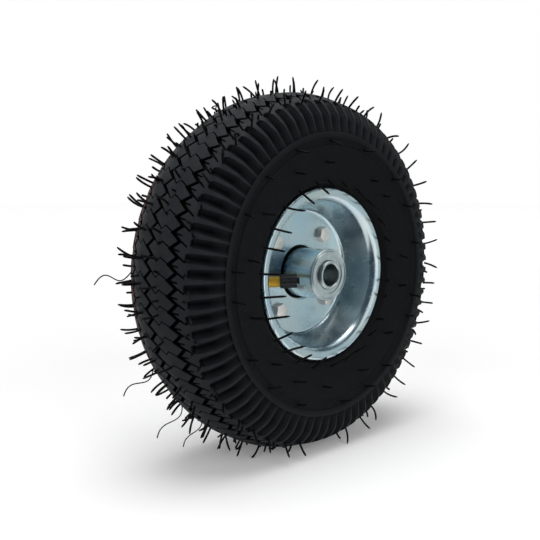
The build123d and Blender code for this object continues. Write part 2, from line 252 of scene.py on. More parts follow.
class NodeSketch:
    """A short way to write a material's node tree."""

    def __init__(self, tree: bpy.types.NodeTree) -> None:
        """Start from an empty tree."""
        tree.nodes.clear()
        self.tree = tree

    @classmethod
    def material(cls, name: str) -> tuple["NodeSketch", bpy.types.Material]:
        """Start a new material, and return its sketch and the material."""
        made = bpy.data.materials.new(name)
        made.use_nodes = True
        return cls(made.node_tree), made

    def backdrop_ray(self) -> Socket:
        """Give 1 for a ray that sees the background, straight or through metal or glass, and else 0."""
        ray = self.node("ShaderNodeLightPath")
        seen = self.sum("MAXIMUM", ray.outputs["Is Camera Ray"], ray.outputs["Is Glossy Ray"])
        return self.sum("MAXIMUM", seen, ray.outputs["Is Transmission Ray"])

    def node(self, kind: str, settings: dict | None = None, **inputs: object) -> bpy.types.Node:
        """Add a node.

        Args:
            kind: the node's type.
            settings: properties of the node.
            inputs: values, or sockets to link, by input name with _ for each space.

        Returns:
            The node.
        """
        made = self.tree.nodes.new(kind)
        for key, value in (settings or {}).items():
            setattr(made, key, value)
        for key, value in inputs.items():
            self.feed(made.inputs[key.replace("_", " ")], value)
        return made

    def feed(self, socket: Socket, value: object) -> None:
        """Link a socket to another one, or set its value."""
        if isinstance(value, Socket):
            self.tree.links.new(value, socket)
        else:
            socket.default_value = value

    @cached_property
    def place(self) -> Socket:
        """The surface's own coordinates."""
        return self.node("ShaderNodeTexCoord").outputs["Object"]

    def noise(self, size: float, detail: float = 3.0) -> Socket:
        """Add a noise with patches of about a size in millimetres, and return its value."""
        made = self.node("ShaderNodeTexNoise", Vector=self.place, Scale=1 / (size * MM), Detail=detail)
        return made.outputs["Fac"]

    def ramp(self, value: Socket, start: float, end: float, low: float = 0.0, high: float = 1.0) -> Socket:
        """Go from low to high as a value goes from a start to an end, and return the result."""
        made = self.node(
            "ShaderNodeMapRange", Value=value, From_Min=start, From_Max=end, To_Min=low, To_Max=high
        )
        return made.outputs["Result"]

    def patches(self, size: float, low: float = 0.0, high: float = 1.0, inset: float = 0.3) -> Socket:
        """Spread the middle of a noise over a range, and return the value."""
        return self.ramp(self.noise(size), inset, 1 - inset, low, high)

    def sum(self, operation: str, *terms: object) -> Socket:
        """Work out a sum of sockets and numbers, and return its value."""
        made = self.node("ShaderNodeMath", {"operation": operation})
        for socket, term in zip(made.inputs, terms):
            self.feed(socket, term)
        return made.outputs[0]

    def length(self, vector: Socket) -> Socket:
        """Work out the length of a vector."""
        made = self.node("ShaderNodeVectorMath", {"operation": "LENGTH"})
        self.feed(made.inputs[0], vector)
        return made.outputs["Value"]

    def radius(self, split: bpy.types.Node) -> Socket:
        """Work out the distance from the axle of a place that is split into X, Y and Z."""
        across = self.node("ShaderNodeCombineXYZ", X=split.outputs["X"], Y=split.outputs["Z"])
        return self.length(across.outputs["Vector"])

    def blend(self, share: Socket, first: object, second: object) -> Socket:
        """Mix two colours by a share, and return the mixed colour."""
        made = self.node("ShaderNodeMix", {"data_type": "RGBA"})
        self.feed(made.inputs[0], share)
        for number, colour in ((MIX_FIRST, first), (MIX_SECOND, second)):
            self.feed(made.inputs[number], colour if isinstance(colour, Socket) else (*colour, 1.0))
        return made.outputs[MIX_RESULT]


@dataclass(frozen=True)
class Finish:
    """A finish whose colour, roughness and relief wander a little over the surface."""

    name: str
    colour: Colour
    patch_colour: Colour
    roughness: Span
    metallic: float = 0.0
    specular: float = 0.5
    patch_size: float = 12.0
    grain_size: float = 0.8
    grain_height: float = 0.03
    grain_strength: float = 0.6
    grain_detail: float = 2.0
    wear_fineness: float = 3.0

    def tint(self, sketch: NodeSketch) -> Socket:
        """Build the finish's colour in a sketch, and return its socket."""
        return sketch.blend(sketch.patches(self.patch_size), self.colour, self.patch_colour)

    def relief(self, sketch: NodeSketch) -> Socket:
        """Build the finish's fine grain in a sketch, and return the normal's socket."""
        grain = sketch.noise(self.grain_size, detail=self.grain_detail)
        bump = sketch.node(
            "ShaderNodeBump", Strength=self.grain_strength, Distance=self.grain_height * MM, Height=grain
        )
        return bump.outputs["Normal"]

    def material(self) -> bpy.types.Material:
        """Build the finish's material once, and return it.

        Returns:
            The material.
        """
        name = f"{self.name}_finish"
        made = bpy.data.materials.get(name)
        if made:
            return made
        sketch, made = NodeSketch.material(name)
        wear = sketch.patches(self.patch_size / self.wear_fineness, *self.roughness)
        shader = sketch.node(
            "ShaderNodeBsdfPrincipled",
            Base_Color=self.tint(sketch),
            Roughness=wear,
            Metallic=self.metallic,
            Normal=self.relief(sketch),
            Specular_IOR_Level=self.specular,
        )
        sketch.node("ShaderNodeOutputMaterial", Surface=shader.outputs["BSDF"])
        return made

    def dress(self, piece: Piece) -> None:
        """Give a piece this finish in place of any other."""
        if not piece.material_slots:
            piece.data.materials.append(None)
        for place in piece.material_slots:
            place.material = self.material()


@dataclass(frozen=True)
class TreadRubber(Finish):
    """Moulded rubber: greyer on the tread, with painted shade that turns the cuts black, and a worn line of
    mould paint near its rear.
    """

    # painted shade: the colour that the cuts darken to, fully at this much shaded depth
    cut_shade_colour: Colour = (0.0016, 0.0016, 0.002)
    full_shade_depth: float = 1.3
    side_colour: Colour = (0.0068, 0.007, 0.0078)
    side_radii: Span = (96.0, 104.0)
    stripe_colour: Colour = (0.13, 0.036, 0.042)
    stripe_middle: float = 25.5
    stripe_width: float = 6.0
    stripe_patch: float = 7.0
    stripe_share: float = 0.85

    def tint(self, sketch: NodeSketch) -> Socket:
        """Build the rubber's colour with the paint line, the sidewall and the painted shade of the cuts laid
        over it.

        Args:
            sketch: the node tree being written.

        Returns:
            The colour socket.
        """
        split = sketch.node("ShaderNodeSeparateXYZ", Vector=sketch.place)
        off = sketch.sum("SUBTRACT", split.outputs["Y"], self.stripe_middle * MM)
        half = self.stripe_width / 2 * MM
        band = sketch.ramp(sketch.sum("ABSOLUTE", off), half, half / 2)
        worn = sketch.patches(self.stripe_patch, high=self.stripe_share)
        paint = sketch.sum("MULTIPLY", band, worn)
        painted = sketch.blend(paint, super().tint(sketch), self.stripe_colour)
        outer, inner = self.side_radii[1] * MM, self.side_radii[0] * MM
        sided = sketch.blend(sketch.ramp(sketch.radius(split), outer, inner), painted, self.side_colour)
        # painted shade: the cuts turn black with their depth
        depth = sketch.node("ShaderNodeAttribute", {"attribute_name": CUT_SHADE})
        return sketch.blend(sketch.ramp(depth.outputs["Fac"], 0.0, self.full_shade_depth), sided, self.cut_shade_colour)


@dataclass(frozen=True)
class ThreadedMetal(Finish):
    """Metal with a thread's rings about one axis laid over its grain."""

    axis: Spot = (0.704927, -0.707107, 0.055479)
    thread_pitch: float = 0.8
    thread_height: float = 0.22

    def relief(self, sketch: NodeSketch) -> Socket:
        """Build the thread's rings over the metal's grain.

        Args:
            sketch: the node tree being written.

        Returns:
            The normal socket.
        """
        along = sketch.node("ShaderNodeVectorMath", {"operation": "DOT_PRODUCT"})
        sketch.feed(along.inputs[0], sketch.place)
        along.inputs[1].default_value = Vector(self.axis) * (math.tau / (self.thread_pitch * MM))
        bump = sketch.node(
            "ShaderNodeBump",
            Strength=1.0,
            Distance=self.thread_height / 2 * MM,
            Height=sketch.sum("SINE", along.outputs["Value"]),
            Normal=super().relief(sketch),
        )
        return bump.outputs["Normal"]


@dataclass(frozen=True)
class PlatedSheet(Finish):
    """Zinc-plated sheet, with painted shade that blackens the narrow gap between the front disc and the hub."""

    # painted shade: colour and place of the black band in the gap between the front disc and the hub
    gap_shade_colour: Colour = (0.004, 0.004, 0.005)
    gap_shade_radii: Span = (19.7, 20.3)
    gap_shade_faces: Span = (-7.3, -6.0)
    gap_shade_fade: float = 0.15

    def tint(self, sketch: NodeSketch) -> Socket:
        """Build the plating's colour with the painted gap shade laid over it.

        Args:
            sketch: the node tree being written.

        Returns:
            The colour socket.
        """
        split = sketch.node("ShaderNodeSeparateXYZ", Vector=sketch.place)
        # painted shade: the metal inside the gap between the front disc and the hub is blackened
        near = sketch.ramp(sketch.radius(split), self.gap_shade_radii[1] * MM, self.gap_shade_radii[0] * MM)
        front, back = self.gap_shade_faces
        inside = sketch.ramp(split.outputs["Y"], back * MM, (back - self.gap_shade_fade) * MM)
        outside = sketch.ramp(split.outputs["Y"], front * MM, (front + self.gap_shade_fade) * MM)
        share = sketch.sum("MULTIPLY", near, sketch.sum("MULTIPLY", inside, outside))
        return sketch.blend(share, super().tint(sketch), self.gap_shade_colour)


TREAD_RUBBER = TreadRubber(
    "tread_rubber",
    (0.0155, 0.0175, 0.0205),
    (0.0205, 0.0225, 0.025),
    (0.5, 0.66),
    specular=0.06,
    patch_size=9.0,
    grain_size=0.5,
)
HAIR_RUBBER = Finish(
    "hair_rubber",
    (0.002, 0.002, 0.0023),
    (0.004, 0.004, 0.0044),
    (0.55, 0.7),
    specular=0.12,
    patch_size=4.0,
)
TUBE_RUBBER = Finish("tube_rubber", (0.02, 0.02, 0.02), (0.03, 0.03, 0.03), (0.6, 0.75), patch_size=10.0)
ZINC_SHEET = PlatedSheet(
    "zinc_sheet",
    (0.51, 0.665, 0.745),
    (0.63, 0.69, 0.68),
    (0.2, 0.3),
    metallic=1.0,
    patch_size=28.0,
    grain_size=1.6,
    grain_height=0.012,
)
BOLT_ZINC = Finish(
    "bolt_zinc",
    (0.86, 0.84, 0.8),
    (0.74, 0.72, 0.68),
    (0.38, 0.5),
    metallic=0.6,
    patch_size=3.0,
    grain_size=0.4,
)
BEARING_STEEL = Finish(
    "bearing_steel",
    (0.6, 0.65, 0.65),
    (0.5, 0.55, 0.56),
    (0.26, 0.36),
    metallic=1.0,
    patch_size=5.0,
    grain_size=0.4,
)
BRASS = ThreadedMetal(
    "brass",
    (0.84, 0.5, 0.06),
    (0.72, 0.39, 0.04),
    (0.26, 0.38),
    metallic=0.85,
    patch_size=3.0,
    grain_size=0.3,
)
CAP_PLASTIC = Finish("cap_plastic", (0.012, 0.012, 0.013), (0.02, 0.02, 0.022), (0.4, 0.52), patch_size=3.0)


def place_piece(piece: Piece, body: Body, slot: Slot, finish: Finish, *nodes: str) -> None:
    """Put a finished piece on its body, in its finish.

    Args:
        piece: the object.
        body: the body that it rides on.
        slot: the record's material slot that it belongs to; not used.
        finish: its finish.
        nodes: the CAD nodes that it stands for.
    """
    finish.dress(piece)
    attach(piece, body.value)
    if nodes:
        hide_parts(*nodes)
    LOG.info("%s: %d faces", piece.name, len(piece.data.polygons))


@dataclass
class Cut:
    """A groove in the tread: its outline on the unrolled tread, its depth at a place, and how much painted shade
    darkens it.
    """

    outline: list[Point]
    depth: Callable[[float, float], float]
    shade: float = 1.0


@dataclass
class Tyre:
    """The tyre, moulded in one piece, with its tread drawn one pitch at a time on the unrolled surface."""

    crown_radius: float = 130.0
    crown_edge: float = 11.0
    tread_edge: Point = (122.0, 32.5)
    rib_knee: Point = (112.5, 39.5)
    ring_top: Point = (99.5, 42.0)
    ring_foot: Point = (96.5, 42.0)
    band: tuple[Point, Point] = ((95.3, 40.8), (92.2, 40.4))
    line_ring: tuple[Point, Point] = ((91.0, 41.2), (89.8, 40.4))
    sidewall_bend: Point = (76.75, 38.6)
    sidewall_end: Point = (66.5, 36.2)
    bead: tuple[Point, ...] = ((62.8, 31.1), (60.1, 31.1), (54.5, 27.8), (51.5, 18.3))
    inside: tuple[Point, ...] = ((60.3, 23.8), (76.75, 34.0), (112.5, 34.9), (119.5, 18.5))
    bends: tuple[float, ...] = (30.0, 13.0, 11.0, 3.0, 0.8, 0.8, 0.5, 0.5, 0.5, 30.0, 2.0, 0.5, 0.5, 0.5)
    pitches: int = 80
    steps_per_pitch: int = 4
    groove_offset: float = 21.0
    groove_width: float = 4.0
    groove_swing: float = 3.1
    groove_depth: float = 3.6
    sipe_path: tuple[Point, ...] = ((4.2, 0.0), (8.6, 3.9), (11.7, 1.2))
    sipe_end: Point = (3.6, 0.5)
    nick_path: tuple[Point, ...] = ((1.0, 0.1), (5.2, 3.2))
    short_nick_path: tuple[Point, ...] = ((-4.8, 0.2), (0.8, 1.3))
    cut_taper: float = 0.7
    sipe_width: float = 1.25
    sipe_depth: float = 2.2
    nick_width: float = 1.6
    nick_depth: float = 2.0
    trough_width: float = 6.3
    trough_foot: float = 7.1
    trough_point: float = 2.4
    trough_depth: float = 3.3
    trough_tip: float = 28.6
    trough_stagger: float = 2.2
    trough_tip_width: float = 4.0
    trough_round: float = 0.8
    trough_ends: Span = (0.85, 0.6)
    # the share of the painted cut shade that the troughs get
    trough_shade: float = 0.4
    trough_stop: float = 0.2
    seam: float = 0.01
    ring_lap: float = 0.3

    def __post_init__(self) -> None:
        """Measure the section once."""
        corners = [
            (self.crown_radius, 0.0),
            (self.crown_radius, self.crown_edge),
            self.tread_edge,
            self.rib_knee,
            self.ring_top,
            self.ring_foot,
            *self.band,
            *self.line_ring,
            self.sidewall_bend,
            self.sidewall_end,
            *self.bead,
        ]
        self.section = rounded(corners, list(self.bends))
        self.stations = [0.0]
        for a, b in zip(self.section, self.section[1:]):
            self.stations.append(self.stations[-1] + math.dist(a, b))
        self.pitch = math.tau * self.crown_radius / self.pitches
        lap = self.ring_top[0] - self.ring_lap
        self.tread_last = next(i for i, (r, _) in enumerate(self.section) if r < lap)

    def station(self, front: float) -> float:
        """Find how far along the section the tread or shoulder is at a distance from the middle plane."""
        for i, (a, b) in enumerate(zip(self.section, self.section[1:])):
            if a[1] <= abs(front) < b[1]:
                share = (abs(front) - a[1]) / (b[1] - a[1])
                along = self.stations[i] + share * (self.stations[i + 1] - self.stations[i])
                return math.copysign(along, front)
        raise ValueError(f"no tread at {front} mm from the middle")

    def surface(self, along: float) -> tuple[Vector, Vector]:
        """Find a place on the section and the way out of it.

        Args:
            along: distance along the section from the crown, positive towards the front.

        Returns:
            The (radius, front) place and the outward normal there.
        """
        i = min(max(bisect_right(self.stations, abs(along)) - 1, 0), len(self.section) - 2)
        here, there = Vector(self.section[i]), Vector(self.section[i + 1])
        line = there - here
        place = here + line.normalized() * (abs(along) - self.stations[i])
        normal = Vector((line.y, -line.x)).normalized()
        side = math.copysign(1.0, along)
        return Vector((place.x, place.y * side)), Vector((normal.x, normal.y * side))

    def spot(self, along: float, angle: float, depth: float = 0.0) -> Vector:
        """Find a point in space on the tyre, or a depth under its surface."""
        place, normal = self.surface(along)
        place -= normal * depth
        return Vector((place.x * math.cos(angle), -place.y, place.x * math.sin(angle)))

    def swing(self, around: float) -> float:
        """Give a zigzag's side step at a distance around from the middle of its pitch."""
        return self.groove_swing * (1 - 4 * abs(around) / self.pitch)

    def ribbon(self, path: list[Point], width: float, end_width: float) -> list[Point]:
        """Give the outline of a thin groove along a path on the unrolled tread.

        Args:
            path: its (front, around) points.
            width: its width at the first point.
            end_width: its width at the last point.

        Returns:
            The outline as (along, around) points.
        """
        line = [(self.station(front), around) for front, around in path]
        left, right = [], []
        for i, point in enumerate(line):
            before, after = Vector(line[max(i - 1, 0)]), Vector(line[min(i + 1, len(line) - 1)])
            way = (after - before).normalized()
            half = (width + (end_width - width) * i / (len(line) - 1)) / 2
            left.append((point[0] - way.y * half, point[1] + way.x * half))
            right.append((point[0] + way.y * half, point[1] - way.x * half))
        return left + right[::-1]

    def mirrored(self, path: list[Point]) -> list[Point]:
        """Carry a path on the front half of the tread over to the rear half, by half a turn."""
        turned = [(-front, self.pitch / 2 - around) for front, around in path]
        shift = self.pitch if turned[0][1] > self.pitch / 2 else 0.0
        return [(front, around - shift) for front, around in turned]

    def zigzag(self, front: float) -> Cut:
        """Draw one pitch of a zigzag groove about a line round the tread."""
        half, reach = self.groove_width / 2, self.pitch / 2
        middle = self.station(front) if front else 0.0
        turns = [(-reach, self.swing(reach)), (0.0, self.swing(0.0)), (reach, self.swing(reach))]
        left = [(middle + step - half, around) for around, step in turns]
        right = [(middle + step + half, around) for around, step in turns]
        return Cut(right + left[::-1], lambda along, around: self.groove_depth)

    def sipes(self) -> list[Cut]:
        """Draw the fine cuts of one pitch: a lightning-shaped one in each block row and two nicks outside it."""
        reach = self.pitch / 2
        tip = self.groove_offset + self.groove_swing
        bolt = [*self.sipe_path, (self.groove_offset - self.sipe_end[0], reach - self.sipe_end[1])]
        nick = [(tip + front, around) for front, around in self.nick_path]
        short_nick = [(tip + front, around - reach) for front, around in self.short_nick_path]
        cuts = []
        for path, width, depth in (
            (bolt, self.sipe_width, self.sipe_depth),
            (nick, self.nick_width, self.nick_depth),
            (short_nick, self.nick_width, self.nick_depth),
        ):
            for drawn in (path, self.mirrored(path)):
                outline = self.ribbon(drawn, width, width * self.cut_taper)
                cuts.append(Cut(outline, lambda along, around, d=depth: d))
        return cuts

    def trough(self, side: Face, tip: float) -> Cut:
        """Draw the trough between two shoulder ribs, blunt at its tread end, widest at the ring and round below.

        Args:
            side: the side of the wheel.
            tip: how far from the middle plane its blunt end lies.

        Returns:
            The cut.
        """
        sign = -side.value
        start, end = self.station(tip), self.station(self.ring_top[1] - self.trough_stop)
        stops = (start, start + self.trough_point, end)
        widths = (self.trough_tip_width, self.trough_width, self.trough_foot)
        halves = [w / 2 * self.crown_radius / self.surface(s)[0].x for s, w in zip(stops, widths)]
        points = list(zip(stops, halves))
        points += [(along, -half) for along, half in points[::-1]]

        def depth(along: float, around: float) -> float:
            """Give the trough's depth at a place, deepest along its middle."""
            share = min(max((abs(along) - start) / (end - start), 0.0), 1.0)
            half = halves[1] + (halves[2] - halves[1]) * share
            off = min(abs((around + self.pitch / 2) % self.pitch - self.pitch / 2) / half, 1.0)
            ends = self.trough_ends[0] + (self.trough_ends[1] - self.trough_ends[0]) * share
            fullness = ends + (1 - ends) * math.sin(math.pi * share)
            return self.trough_depth * fullness * (1 - self.trough_round * off**2)

        return Cut([(sign * along, around) for along, around in points], depth, self.trough_shade)

    def lay_out(self, cuts: list[Cut]) -> MeshDraft:
        """Triangulate one pitch of the unrolled tyre with its cuts dropped to their floors, and roll it up at
        the +X side.

        Args:
            cuts: the grooves of the pitch.

        Returns:
            The pitch as a draft.
        """
        reach, end = self.pitch / 2, self.stations[self.tread_last]
        points = [Vector(p) for p in ((-end, -reach), (end, -reach), (end, reach), (-end, reach))]
        outlines = [[0, 1, 2, 3]]
        wrapped = []
        for cut in cuts:
            for shift in (-self.pitch, 0.0, self.pitch):
                outline = [(along, around + shift) for along, around in anticlockwise(cut.outline)]
                if any(abs(around) < reach - self.seam for _, around in outline):
                    wrapped.append(Cut(outline, cut.depth, cut.shade))
                    outlines.append(list(range(len(points), len(points) + len(outline))))
                    points.extend(Vector(p) for p in outline)
        lines = []
        for place in {s * sign for s in self.stations[: self.tread_last] for sign in (-1, 1)}:
            lines.append((len(points), len(points) + 1))
            points.extend((Vector((place, -reach)), Vector((place, reach))))
        for step in range(1, self.steps_per_pitch):
            around = reach * (2 * step / self.steps_per_pitch - 1)
            lines.append((len(points), len(points) + 1))
            points.extend((Vector((-end, around)), Vector((end, around))))
        spots, _, faces, _, _, owners = delaunay_2d_cdt(
            points, lines, outlines, CDT_INSIDE, CDT_EPSILON, True
        )
        return self.sink(spots, faces, owners, wrapped)

    def sink(
        self, spots: list[Vector], faces: list[list[int]], owners: list[list[int]], cuts: list[Cut]
    ) -> MeshDraft:
        """Drop the faces inside each cut to its floor and wall it in.

        Args:
            spots: the points of the flat layout.
            faces: its triangles.
            owners: the outlines that each triangle lies in, 0 being the whole pitch.
            cuts: the cuts of the other outlines, in order.

        Returns:
            The rolled-up pitch.
        """
        draft = MeshDraft()
        known: dict[tuple[int, int], int] = {}

        def corner(spot: int, floor: int) -> int:
            """Give the number of a layout point's corner at the surface (0) or on a cut's floor."""
            if (spot, floor) not in known:
                along, around = spots[spot]
                depth = cuts[floor - 1].depth(along, around) if floor else 0.0
                known[spot, floor] = len(draft.corners)
                draft.corners.append(tuple(self.spot(along, around / self.crown_radius, depth)))
                # painted shade: the corner's depth times the cut's shade share
                draft.cut_shade.append(depth * cuts[floor - 1].shade if floor else 0.0)
            return known[spot, floor]

        edges: dict[tuple[int, int], int] = {}
        for face, inside in zip(faces, owners):
            if 0 not in inside:
                continue
            middle = sum((spots[i] for i in face), Vector((0.0, 0.0))) / len(face)
            floor = max(inside, key=lambda n: cuts[n - 1].depth(*middle) if n else 0.0)
            draft.faces.append(tuple(corner(i, floor) for i in face))
            for a, b in zip(face, face[1:] + face[:1]):
                other = edges.pop((b, a), None)
                if other is None:
                    edges[a, b] = floor
                elif other != floor:
                    wall = (corner(a, floor), corner(a, other), corner(b, other), corner(b, floor))
                    draft.faces.append(wall)
        return draft

    def build(self) -> None:
        """Build the whole tyre from its two kinds of pitch and its inside."""
        grooves = [self.zigzag(front) for front in (0.0, self.groove_offset, -self.groove_offset)]
        shared = [*grooves, *self.sipes()]
        kinds = []
        for tip in (self.trough_tip, self.trough_tip + self.trough_stagger):
            kinds.append(self.lay_out([*shared, *(self.trough(side, tip) for side in Face)]))
        draft = MeshDraft()
        for n in range(self.pitches):
            angle = math.tau * n / self.pitches
            cos, sin = math.cos(angle), math.sin(angle)
            kind = kinds[n % len(kinds)]
            turned = ((x * cos - z * sin, y, x * sin + z * cos) for x, y, z in kind.corners)
            draft.add(turned, kind.faces, kind.cut_shade)
        lining = [*self.section[self.tread_last :], *self.inside]
        around = [(r, -f) for r, f in lining] + [(r, f) for r, f in lining[::-1]]
        draft.turn(around, self.pitches * self.steps_per_pitch, closed=False)
        place_piece(draft.make("tyre_casing"), Body.WHEEL, Slot.TYRE, TREAD_RUBBER, "tyre")


@dataclass
class VentHairs:
    """The moulding hairs of a new tyre, each one bent its own way, with a few long curls of flash among them."""

    tyre: Tyre
    strand_radius: float = 0.78
    lengths: Span = (9.5, 12.8)
    stub_lengths: Span = (3.0, 6.5)
    side_lengths: Span = (8.5, 11.8)
    bead_lengths: Span = (13.0, 18.0)
    stations: int = 46
    rows: tuple[float, ...] = (-32.0, -27.5, -12.0, -8.0, 9.0, 32.0)
    stub_rows: tuple[float, ...] = (-29.5, -10.5, 10.5, 29.5)
    stub_share: float = 0.6
    side_rows: tuple[tuple[float, int], ...] = ((94.0, 18), (80.0, 14))
    bead_row: tuple[float, int] = (67.4, 26)
    bead_lean: float = 0.5
    lean: float = 0.17
    bend: float = 0.18
    side_calm: float = 0.45
    steep: float = -0.2
    splay: float = 0.6
    lying_share: float = 0.7
    tip_share: float = 0.6
    place_jitter: Span = (-0.07, 0.07)
    stub_jitter: Span = (0.3, 0.7)
    side_jitter: Span = (0.2, 0.8)
    bead_jitter: Span = (0.3, 0.7)
    curl_radius: float = 0.42
    curl_reach: float = 0.62
    curl_turns: float = 0.9
    curl_sway: Span = (0.12, 0.1)
    curl_droop: float = 0.3
    curls: tuple[tuple[float, float, float], ...] = (
        (-30.0, 177.0, 40.0),
        (-29.0, 112.0, 22.0),
        (-30.0, 210.0, 36.0),
        (-28.0, 227.0, 36.0),
        (-28.0, 237.0, 30.0),
    )
    floor_gap: float = 0.9
    bare_angle: float = 7.0
    root_depth: float = 0.6
    steps: int = 7
    curl_steps: int = 18
    sides: int = 6
    seed: int = 11

    def __post_init__(self) -> None:
        """Start the seeded dice."""
        self.dice = random.Random(self.seed)

    def stand(self, along: float, angle: float) -> tuple[Vector, Vector, Vector, Vector]:
        """Find a hair's root and its directions.

        Args:
            along: its root's distance along the section.
            angle: its root's angle about the axle.

        Returns:
            The root, the way out of the tyre, the way around it, and the way across both.
        """
        tyre = self.tyre
        out = (tyre.spot(along, angle, -1.0) - tyre.spot(along, angle)).normalized()
        around = Vector((-math.sin(angle), 0.0, math.cos(angle)))
        return tyre.spot(along, angle, self.root_depth), out, around, out.cross(around)

    def grow(
        self,
        draft: MeshDraft,
        along: float,
        angle: float,
        lengths: Span,
        inward: float = 0.0,
        calm: float = 1.0,
    ) -> None:
        """Grow one hair, rounded off at its tip, and lay what would reach through the floor along it.

        Args:
            draft: the mesh to add to.
            along: the root's distance along the section.
            angle: the root's angle about the axle.
            lengths: the shortest and longest that the hair may be.
            inward: how far it leans towards the axle.
            calm: the share of the usual lean and bend that it has.
        """
        dice = self.dice
        length = dice.uniform(*lengths)
        root, out, around, across = self.stand(along, angle)
        axle = Vector((-math.cos(angle), 0.0, -math.sin(angle)))
        lean, bend = self.lean * calm, self.bend * calm
        way = (out + axle * inward + around * dice.gauss(0, lean) + across * dice.gauss(0, lean)).normalized()
        turn = around * dice.gauss(0, bend) + across * dice.gauss(0, bend)
        floor = -self.tyre.crown_radius + self.floor_gap
        drop = (floor - root.z) / way.z if way.z < self.steep else length
        if drop < length:
            knee = root + way * drop
            flat = Vector((way.x, way.y + dice.choice((-self.splay, self.splay)), 0.0)).normalized()
            end = knee + flat * (length - drop) * self.lying_share
        else:
            knee = root + way * length / 2
            end = root + (way + turn).normalized() * length
        end.z = max(end.z, floor)
        shares = [step / self.steps for step in range(self.steps + 1)]
        path = [root * (1 - s) ** 2 + knee * (2 * s * (1 - s)) + end * s**2 for s in shares]
        radii = [self.strand_radius] * (len(path) - 1) + [self.strand_radius * self.tip_share]
        draft.tube(path, radii, self.sides)

    def curl(self, draft: MeshDraft, front: float, angle: float, length: float) -> None:
        """Add one long thin strand that waves and droops.

        Args:
            draft: the mesh to add to.
            front: the root's distance in front of the middle plane.
            angle: the root's angle about the axle, in degrees.
            length: the strand's length.
        """
        root, out, around, across = self.stand(self.tyre.station(front), math.radians(angle))
        path = []
        for step in range(self.curl_steps + 1):
            share = step / self.curl_steps
            wave = around * math.sin(math.tau * share * self.curl_turns) * self.curl_sway[0]
            wave += across * math.sin(math.pi * share) * self.curl_sway[1]
            droop = Vector((0.0, 0.0, -self.curl_droop * share**2))
            spot = root + (out * self.curl_reach * share + wave + droop) * length
            spot.z = max(spot.z, -self.tyre.crown_radius + self.floor_gap)
            path.append(spot)
        draft.tube(path, [self.curl_radius] * len(path), self.sides)

    def side_station(self, radius: float) -> float:
        """Find the station of a radius on the sidewall."""
        tyre = self.tyre
        for i, (a, b) in enumerate(zip(tyre.section, tyre.section[1:])):
            if b[0] <= radius < a[0]:
                return tyre.stations[i] + (a[0] - radius) / (a[0] - b[0]) * math.dist(a, b)
        raise ValueError(f"no sidewall at radius {radius}")

    def on_floor(self, angle: float) -> bool:
        """Say whether the tread at an angle is too near the ground for a hair."""
        off = (angle + math.pi / 2) % math.tau
        return min(off, math.tau - off) < math.radians(self.bare_angle)

    def build(self) -> None:
        """Build every hair as one piece."""
        draft, tyre, dice = MeshDraft(), self.tyre, self.dice
        step = math.tau / self.stations
        for n in range(self.stations):
            for row in self.rows:
                angle = (n + dice.uniform(*self.place_jitter)) * step
                if not self.on_floor(angle):
                    self.grow(draft, tyre.station(row), angle, self.lengths)
            for row in self.stub_rows:
                angle = (n + dice.uniform(*self.stub_jitter)) * step
                if dice.random() < self.stub_share and not self.on_floor(angle):
                    self.grow(draft, tyre.station(row), angle, self.stub_lengths)
        for side in (-1, 1):
            for radius, count in self.side_rows:
                along = side * self.side_station(radius)
                for n in range(count):
                    angle = (n + dice.uniform(*self.side_jitter)) * math.tau / count
                    self.grow(draft, along, angle, self.side_lengths, calm=self.side_calm)
            along = side * self.side_station(self.bead_row[0])
            for n in range(self.bead_row[1]):
                angle = (n + dice.uniform(*self.bead_jitter)) * math.tau / self.bead_row[1]
                self.grow(draft, along, angle, self.bead_lengths, self.bead_lean, self.side_calm)
        for front, angle, length in self.curls:
            self.curl(draft, front, angle, length)
        place_piece(draft.make("tyre_hairs"), Body.WHEEL, Slot.TYRE, HAIR_RUBBER, "vent_hairs")


@dataclass
class RimHalf:
    """One pressed half of the rim, from its hub hole to its rolled lip."""

    side: Face
    node: str
    hole_radius: float
    disc: float
    well_radius: float = 46.0
    well_corner: float = 8.0
    flange_radius: float = 54.3
    lip_radius: float = 62.5
    lip_face: float = 34.0
    lip_return: float = 2.6
    sheet: float = 1.8
    disc_bend: float = 3.5
    flange_bend: float = 8.0
    lip_bend: float = 2.2
    steps_around: int = 240

    def build(self) -> None:
        """Build the half as a turned sheet with rounded bends."""
        corners = [(self.hole_radius, self.disc), (self.well_radius, self.disc)]
        bends = [self.disc_bend, self.flange_bend, self.lip_bend]
        if self.disc < self.well_corner:
            corners.append((self.well_radius, self.well_corner))
            bends.insert(0, self.disc_bend)
        corners.append((self.flange_radius, self.lip_face))
        corners.append((self.lip_radius, self.lip_face))
        corners.append((self.lip_radius, self.lip_face - self.lip_return))
        line = rounded(corners, bends, steps=8)
        section = line + offset_right(line, self.sheet)[::-1]
        draft = MeshDraft()
        draft.turn([(r, y * self.side.value) for r, y in section], self.steps_around)
        place_piece(draft.make(f"{self.node}_pressing"), Body.WHEEL, Slot.SHEET, ZINC_SHEET, self.node)


